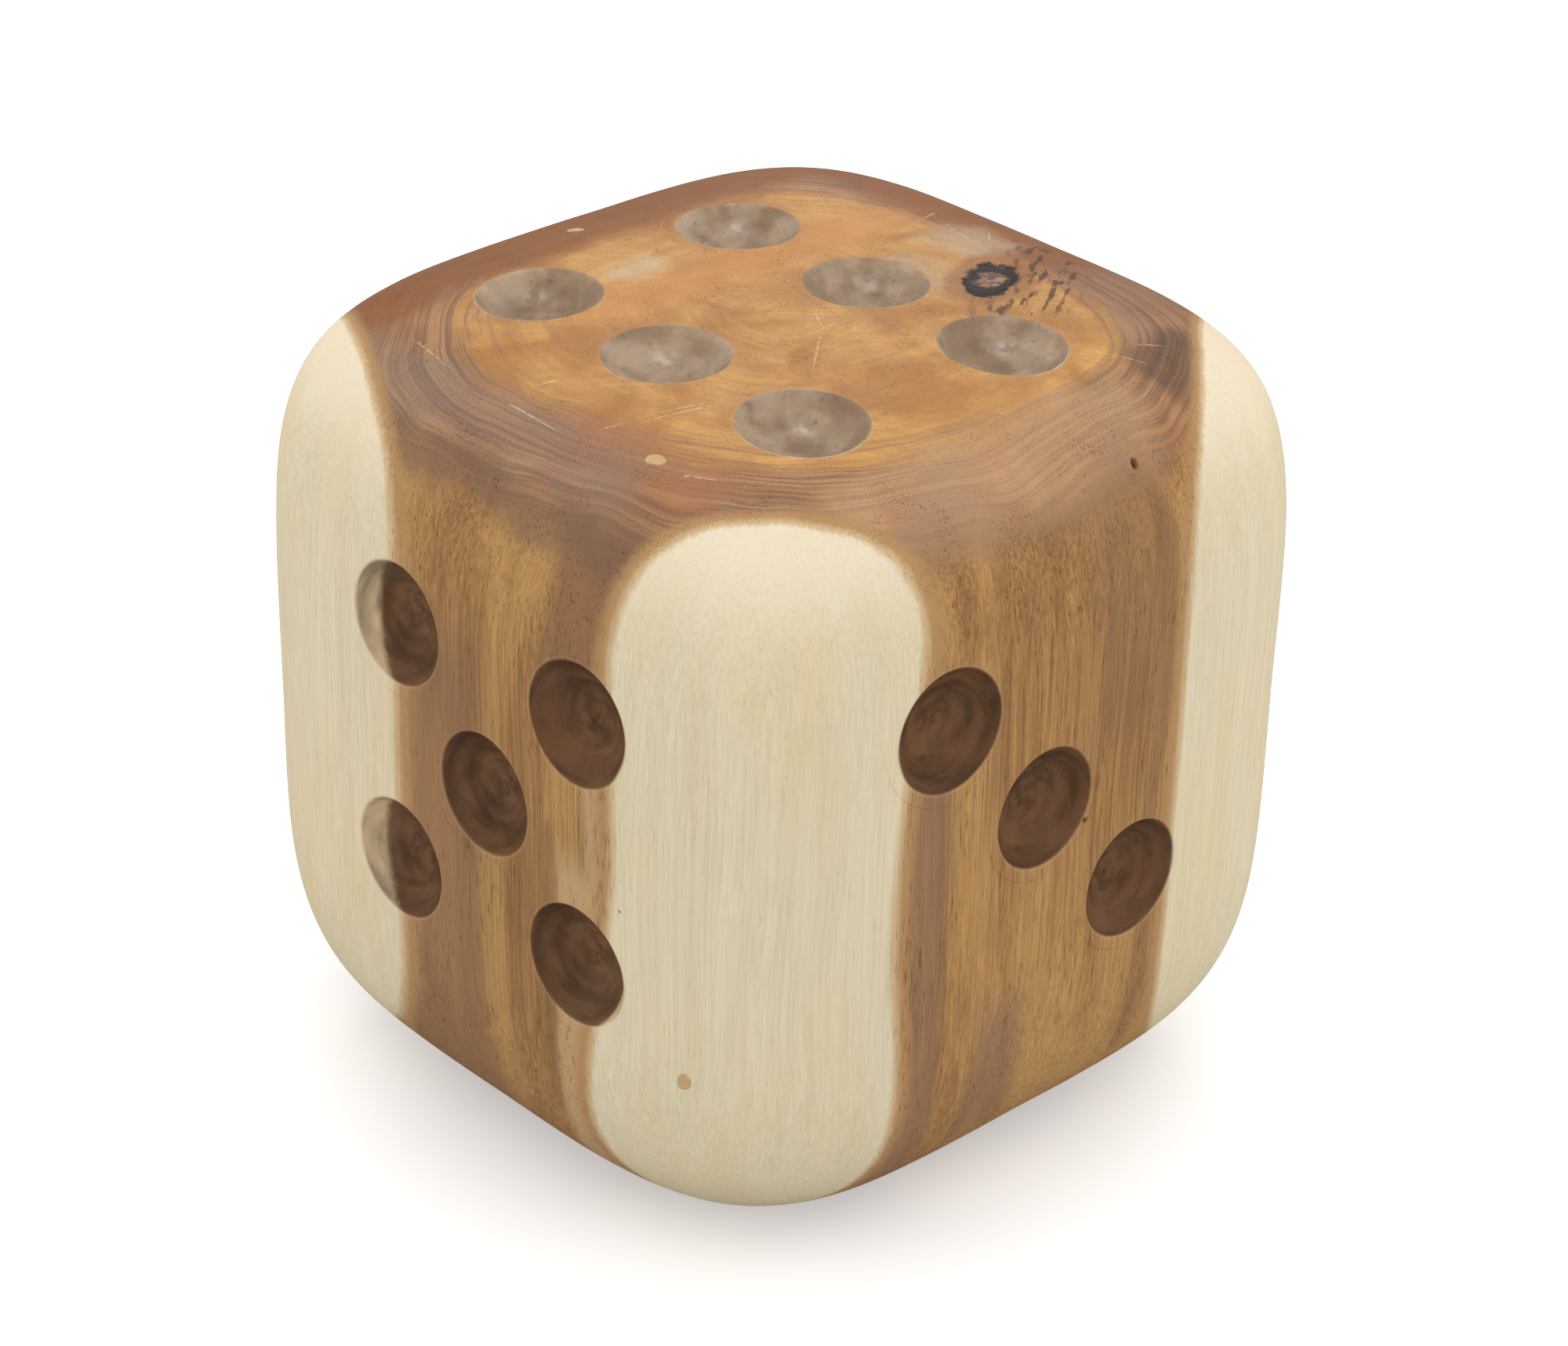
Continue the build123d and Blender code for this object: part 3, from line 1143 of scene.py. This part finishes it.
# %% Heart on the top
def heart_top(tree, place, ring):
    """The heart's colour where the surface runs across the grain."""
    x, y, _ = node(tree, "SeparateXYZ", place).outputs
    far_x = calc(tree, "DIVIDE", x, 150.0)
    far_y = calc(tree, "DIVIDE", y, 150.0)
    ring_place = node(tree, "CombineXYZ", calc(tree, "DIVIDE", ring, 5.0), far_x, far_y).outputs[0]
    ring_lines = node(tree, "TexNoise", ring_place, None, 1.0, 6.0, 0.7).outputs[0]
    ring_lines = step_up(tree, ring_lines, 0.38, 0.62)
    ends = mix(tree, step_up(tree, cloud(tree, place, (40, 40, 80), 4.0, 0.6, 0.5), 0.32, 0.68),
               (0.46, 0.205, 0.062), (0.69, 0.375, 0.115))
    slant = node(tree, "VectorRotate", place, rotation_type="Z_AXIS")
    slant.inputs["Angle"].default_value = math.radians(-45)
    haze = step_up(tree, cloud(tree, slant.outputs[0], (60, 2.4, 60), 6.0, 0.75), 0.40, 0.62)
    ends = lay(tree, ends, (0.44, 0.25, 0.12), haze, 0.42)
    ends = lay(tree, ends, (0.34, 0.165, 0.075), ring_lines, 0.26)
    specks = step_up(tree, cloud(tree, place, (2.2, 2.2, 12), 5.0, 0.8), 0.56, 0.70)
    ends = lay(tree, ends, (0.26, 0.13, 0.065), specks, 0.6)

    # Round the shoulder the rings run close together, in mauve, red brown and tan.
    tones = cloud(tree, place, (75, 75, 60), 3.0, 0.55)
    banded = mix(tree, step_up(tree, tones, 0.40, 0.56), (0.25, 0.150, 0.115), (0.36, 0.160, 0.080))
    banded = mix(tree, step_up(tree, tones, 0.54, 0.68), banded, (0.47, 0.270, 0.150))
    ring_place = node(tree, "CombineXYZ", calc(tree, "DIVIDE", ring, 1.7), far_x, far_y).outputs[0]
    fine_rings = node(tree, "TexNoise", ring_place, None, 1.0, 4.0, 0.7).outputs[0]
    banded = mix(tree, scaled(tree, ring_lines, 0.0, 0.55), banded, (0.55, 0.31, 0.155))
    dark_lines = scaled(tree, step_up(tree, fine_rings, 0.46, 0.58), 0.0, 0.66)
    banded = mix(tree, dark_lines, banded, (0.15, 0.085, 0.065))
    shoulder = step_up(tree, calc(tree, "ADD", ring, scaled(tree, ring_lines, -8, 8)), 122, 144)
    ends = lay(tree, ends, banded, shoulder, 0.9)
    return ends


print("ready:", heart_top.__name__)

# %% [markdown]
# ## The sapwood
# Sapwood carried the water of the living tree. It is cream, with faint yellow clouds and a few tan
# hairs, and its upper part is painted paler: painted light, where the top catches more light.

# %% Sapwood
def sapwood(tree, place, z, fibres):
    """The sapwood's colour, with painted light on its upper part."""
    sap = mix(tree, fibres["Streak"], (0.755, 0.65, 0.44), (0.80, 0.71, 0.51))
    clouds = step_up(tree, cloud(tree, place, (40, 40, 120), 3.0), 0.42, 0.70)
    sap = lay(tree, sap, (0.80, 0.64, 0.38), clouds, 0.55)
    sap = shaded(tree, sap, scaled(tree, fibres["Hair"], 0.94, 1.04))
    # Painted light: the sapwood is made paler towards the top, where more light falls.
    painted_top_light = step_up(tree, z, 130, 175)
    sap = lay(tree, sap, (0.88, 0.75, 0.57), painted_top_light, 0.6)
    hairs = step_up(tree, cloud(tree, place, (0.9, 0.9, 20), 2.0), 0.62, 0.80)
    return lay(tree, sap, (0.55, 0.40, 0.22), hairs, 0.35)


print("ready:", sapwood.__name__)

# %% [markdown]
# ## The colour inside a dish
# The bit cut across the fibres, and the oil soaked in there, so a dish in the side is darker than the
# wood round it, and far darker with painted shade of the hollow laid in. A dish in the top lies
# across the grain as the top does, so it is greyer, partly from a painted sheen, with small tears in
# it.

# %% Inside of a dish
def dish_wood_shade_and_sheen(tree, place, beyond, end_grain, arcs):
    """The colour inside a dish: ground wood with painted shade in side dishes and painted sheen in
    top ones, darker along the arcs that the bit left.
    """
    paleness = step_up(tree, beyond, -2.0, 2.0)
    # Partly cut end grain, partly painted shade in the hollow: the side dishes are coloured very
    # dark.
    side_dish_wood_and_painted_shade = mix(tree, paleness, (0.104, 0.049, 0.023), (0.44, 0.32, 0.19))
    clouded = step_up(tree, cloud(tree, place, (22, 22, 22), 4.0, 0.55), 0.35, 0.65)
    # Partly cut wood, partly a painted sheen: the top dishes are coloured greyer than the top round
    # them.
    top_dish_wood_and_painted_sheen = mix(tree, clouded, (0.27, 0.182, 0.115), (0.44, 0.325, 0.225))
    torn = step_up(tree, cloud(tree, place, (7, 7, 7), 6.0, 0.75, 1.5), 0.58, 0.64)
    top_dish_wood_and_painted_sheen = lay(tree, top_dish_wood_and_painted_sheen, (0.16, 0.10, 0.065), torn, 0.5)
    inside_colour = mix(tree, end_grain, side_dish_wood_and_painted_shade, top_dish_wood_and_painted_sheen)
    darkest = scaled(tree, end_grain, 0.6, 0.94)
    palest = scaled(tree, end_grain, 1.6, 1.15)
    arc_shade = scaled(tree, arcs, darkest, palest)
    return shaded(tree, inside_colour, arc_shade)


print("ready:", dish_wood_shade_and_sheen.__name__)

# %% [markdown]
# ## The timber itself
# Heart and sapwood are one piece of wood, so one group colours both, and nothing shows where the
# two solids meet. It starts from the heart's streaks, turns them to rings on the top, pales
# through honey to sapwood beyond the last ring, and then lays the marks on top.

# %% Group: timber
def make_timber_group():
    tree, _, out = group(
        "timber", {},
        {"Colour": "colour", "Roughness": "value", "Height": "value", "Gloss": "value"})
    where = use(tree, place_group)
    place, beyond, ring = where["Place"], where["Beyond heart"], where["Ring"]
    z = node(tree, "SeparateXYZ", place).outputs[2]
    fibres = use(tree, fibre_group, Place=place)
    dish = use(tree, dish_group)
    end_grain = step_up(tree, z, 150, 174)

    # Heart.
    side = heart_side(tree, place, fibres)
    ends = heart_top(tree, place, ring)
    heart = mix(tree, end_grain, side, ends)
    heart = use(tree, tint_group, Place=place, Colour=heart)["Colour"]
    heart = use(tree, knot_group, Place=place, Colour=heart)["Colour"]

    # From the heart through honey into sapwood.
    sap = sapwood(tree, place, z, fibres)
    colour = mix(tree, step_up(tree, beyond, -9.0, -3.5), heart, (0.47, 0.27, 0.12))
    colour = mix(tree, step_up(tree, beyond, -4.0, -1.0), colour, (0.64, 0.46, 0.26))
    colour = mix(tree, step_up(tree, beyond, -1.6, 0.8), colour, sap)

    # Pores.
    pore_strength = scaled(tree, step_up(tree, beyond, -4, 2), 0.75, 0.16)
    pore_share = calc(tree, "MULTIPLY", fibres["Pores"], pore_strength)
    in_the_pores = mix(tree, 1.0, colour, (0.42, 0.34, 0.27), "MULTIPLY")
    colour = mix(tree, pore_share, colour, in_the_pores)

    # Dishes, partly painted shade and sheen, and the pale line of their rims, partly a painted
    # highlight.
    inside_colour = dish_wood_shade_and_sheen(tree, place, beyond, end_grain, dish["Arcs"])
    colour = lay(tree, colour, inside_colour, dish["Inside"], 0.94)
    # Partly wear, partly a painted highlight: a faint pale line round each rim.
    colour = lay(tree, colour, (0.72, 0.52, 0.34), dish["Rim"], 0.12)

    # Scratches.
    worn = 0.0
    for start, end, width in scratches:
        ends_at = {"From": (*start, half[2]), "To": (*end, half[2])}
        line = use(tree, scratch_group, Place=place, Width=width, **ends_at)
        worn = calc(tree, "MAXIMUM", worn, line["Mask"])
    colour = lay(tree, colour, (0.82, 0.62, 0.40), worn, 0.45)
    fill(tree, out.inputs["Colour"], colour)

    # Satin on the flat, smoother in the dishes, where the finish has been left alone.
    patchy = cloud(tree, place, (25, 25, 60), 3.0)
    roughness = scaled(tree, patchy, 0.44, 0.60)
    roughness = calc(tree, "SUBTRACT", roughness, calc(tree, "MULTIPLY", dish["Inside"], 0.12))
    polished = step_up(tree, cloud(tree, place, (9, 9, 9), 4.0, 0.6), 0.38, 0.58)
    gloss = calc(tree, "MULTIPLY", dish["Inside"], polished)
    fill(tree, out.inputs["Gloss"],
         calc(tree, "MULTIPLY", gloss, scaled(tree, end_grain, 0.25, 1.0)))
    roughness = calc(tree, "ADD", roughness, calc(tree, "MULTIPLY", fibres["Pores"], 0.15))
    fill(tree, out.inputs["Roughness"], roughness)

    # Fibres, scratches and swirls that can be felt.
    height = calc(tree, "MULTIPLY", fibres["Height"], 0.5)
    height = calc(tree, "SUBTRACT", height, worn)
    swirl = calc(tree, "MULTIPLY", dish["Arcs"], dish["Inside"])
    height = calc(tree, "ADD", height, calc(tree, "MULTIPLY", swirl, 0.5))
    fill(tree, out.inputs["Height"], height)
    return tree


timber_group = built(make_timber_group())


# %% [markdown]
# ## The finishes
# Every piece has a satin oil finish on bare wood. The shader itself stays in each material, and
# the group only brings it colour, roughness and height.

# %% Materials
def satin_wood(name):
    """A material with a satin shader and a bump, ready for its colour, roughness and height."""
    material = bpy.data.materials.new(name)
    material.use_nodes = True
    tree = material.node_tree
    shader = tree.nodes["Principled BSDF"]
    shader.inputs["Specular IOR Level"].default_value = 0.09
    shader.inputs["Coat Roughness"].default_value = 0.27
    bump = node(tree, "Bump")
    bump.inputs["Strength"].default_value = 0.6
    bump.inputs["Distance"].default_value = 0.15 * mm
    tree.links.new(bump.outputs[0], shader.inputs["Normal"])
    return material, tree, shader, bump.inputs["Height"]


def timber_material(name):
    material, tree, shader, height = satin_wood(name)
    timber_look = use(tree, timber_group)
    fill(tree, shader.inputs["Base Color"], timber_look["Colour"])
    fill(tree, shader.inputs["Roughness"], timber_look["Roughness"])
    fill(tree, shader.inputs["Coat Weight"], timber_look["Gloss"])
    fill(tree, height, timber_look["Height"])
    return material


def knot_material():
    material, tree, shader, height = satin_wood("knot")
    place = use(tree, place_group)["Place"]
    rings = cloud(tree, place, (6, 6, 60), 4.0, 0.6, 1.2)
    wood = mix(tree, step_up(tree, rings, 0.4, 0.62), (0.13, 0.065, 0.05), (0.33, 0.19, 0.14))
    glow = step_up(tree, cloud(tree, place, (8, 8, 30), 2.0), 0.56, 0.68)
    wood = lay(tree, wood, (0.50, 0.20, 0.06), glow, 0.7)
    round_knot = use(tree, knot_group, Place=place, Colour=wood)
    fill(tree, shader.inputs["Base Color"], round_knot["Colour"])
    fill(tree, shader.inputs["Roughness"], scaled(tree, rings, 0.35, 0.6))
    fill(tree, height, calc(tree, "MULTIPLY", rings, 1.5))
    return material


def filler_material():
    material, tree, shader, height = satin_wood("filler")
    place = use(tree, place_group)["Place"]
    grit = cloud(tree, place, (0.8, 0.8, 0.8), 3.0)
    blotch = cloud(tree, place, (4, 4, 4), 2.0)
    fill(tree, shader.inputs["Base Color"], mix(tree, blotch, (0.56, 0.36, 0.17), (0.64, 0.44, 0.23)))
    fill(tree, shader.inputs["Roughness"], scaled(tree, grit, 0.5, 0.7))
    fill(tree, height, grit)
    return material


materials = {
    "heartwood": timber_material("heartwood"),
    "sapwood": timber_material("sapwood"),
    "knot": knot_material(),
    "filler": filler_material(),
}
print("materials:", ", ".join(materials))

# %% [markdown]
# ## Handing the pieces to the frame
# Nothing on the block moves, so every piece rides on the one body. Each stands for the CAD solid
# of the same timber.

# %% Pieces and what they stand for
stands_for = {
    "heart": ("heartwood_core", "heartwood"),
    "sap_front": ("sapwood_front", "sapwood"),
    "sap_left": ("sapwood_left", "sapwood"),
    "sap_right": ("sapwood_right", "sapwood"),
    "sap_back": ("sapwood_back", "sapwood"),
    "knot": ("knot_top", "knot"),
    "filler_in_the_corner": ("filler_front", "filler"),
    "filler_on_the_shoulder": ("filler_rim", "filler"),
    "filler_by_the_six": ("filler_top", "filler"),
}
for name, (cad_node, finish) in stands_for.items():
    piece = pieces[name]
    piece.data.materials.append(materials[finish])
    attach(piece, "root")
    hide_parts(cad_node)
print(len(stands_for), "pieces ride on the block")

# %% [markdown]
# ## Floor, light and camera
# A white floor and a white sky give even light. One lamp faces each side, so that the sides are
# as bright as the top. A dish in the top, seen from low down, mirrors what is right above it, so a
# small lamp overhead puts a gleam in each one. A faint lamp behind gives the top its sheen.

# %% Floor
floor_reach = 9.0
floor_gap = 0.0005  # keeps the floor from touching the block's flat foot


def make_floor():
    """A large plain floor, which looks brighter to the camera than it shines on the block."""
    size = floor_reach
    mesh = bpy.data.meshes.new("floor")
    corners = [(-size, -size, 0), (size, -size, 0), (size, size, 0), (-size, size, 0)]
    level = lowest[2] * mm - floor_gap
    mesh.from_pydata([(x, y, level) for x, y, _ in corners], [], [(0, 1, 2, 3)])
    floor = bpy.data.objects.new("floor", mesh)
    bpy.context.collection.objects.link(floor)
    material = bpy.data.materials.new("floor")
    material.use_nodes = True
    tree = material.node_tree
    shader = tree.nodes["Principled BSDF"]
    shader.inputs["Roughness"].default_value = 0.9
    seen = node(tree, "LightPath").outputs["Is Camera Ray"]
    fill(tree, shader.inputs["Base Color"], mix(tree, seen, (0.50, 0.49, 0.47), (0.98, 0.98, 0.98)))
    fill(tree, shader.inputs["Emission Color"], mix(tree, seen, (0, 0, 0), (1, 1, 1)))
    shader.inputs["Emission Strength"].default_value = 0.3
    mesh.materials.append(material)
    return floor


make_floor()
print("floor", 2 * floor_reach, "m wide")


# %% Light
def area_lamp(name, azimuth, elevation, distance, size, power):
    """A square soft lamp that faces the block."""
    data = bpy.data.lights.new(name, "AREA")
    data.size = size
    data.energy = power
    lamp = bpy.data.objects.new(name, data)
    bpy.context.collection.objects.link(lamp)
    a = math.radians(azimuth)
    e = math.radians(elevation)
    out = Vector((math.cos(a) * math.cos(e), math.sin(a) * math.cos(e), math.sin(e)))
    lamp.location = Vector(middle * mm) + out * distance
    lamp.rotation_euler = out.to_track_quat("Z", "Y").to_euler()
    return lamp


area_lamp("overhead", 136, 84, 2.4, 0.8, 11)
area_lamp("back", 136, 26, 2.6, 0.6, 5)
# These four light the timber but leave no reflection on it. Each has its bearing and its power.
side_lamps = {
    "near left": (-102, 29),
    "near right": (12, 31),
    "far right": (80, 14),
    "far left": (172, 14),
}
for name, (bearing, power) in side_lamps.items():
    area_lamp(name, bearing, 10, 3.2, 2.2, power).visible_glossy = False
print("lamps:", len(bpy.data.lights))

# %% Sky, dimmer in reflections
world = bpy.data.worlds.new("white room")
world.use_nodes = True
world.node_tree.nodes["Background"].inputs["Color"].default_value = (1, 1, 1, 1)
glossy = node(world.node_tree, "LightPath").outputs["Is Glossy Ray"]
strength = world.node_tree.nodes["Background"].inputs["Strength"]
fill(world.node_tree, strength, scaled(world.node_tree, glossy, 0.76, 0.35))
bpy.context.scene.world = world
bpy.context.scene.view_settings.view_transform = "Standard"
print("world:", world.name)

# %% Camera
camera_bearing = -43.7
camera_height_angle = 28.84
camera_roll = 1.48
camera_distance = 5.13 * half.mean() * 2 * mm  # in lengths of the block's edge
aim_offset = (4, 4, -3)  # from the middle of the block
aim = Vector(middle * mm) + Vector(aim_offset) * mm

camera_data = bpy.data.cameras.new("camera")
camera_data.lens = 96.67
camera_data.sensor_width = 36
camera_data.shift_x = -0.0027
camera_data.shift_y = 0.0014
camera = bpy.data.objects.new("camera", camera_data)
bpy.context.collection.objects.link(camera)
bearing = math.radians(camera_bearing)
tilt = math.radians(camera_height_angle)
flat_share = math.cos(tilt)
towards = Vector(
    (math.cos(bearing) * flat_share, math.sin(bearing) * flat_share, math.sin(tilt)))
camera.location = aim + towards * camera_distance
roll = Matrix.Rotation(math.radians(camera_roll), 3, "Z")
camera.rotation_euler = (towards.to_track_quat("Z", "Y").to_matrix() @ roll).to_euler()
bpy.context.scene.camera = camera
print("camera at", [round(v, 4) for v in camera.location])

# %% Bringing the scene up to date
bpy.context.view_layer.update()
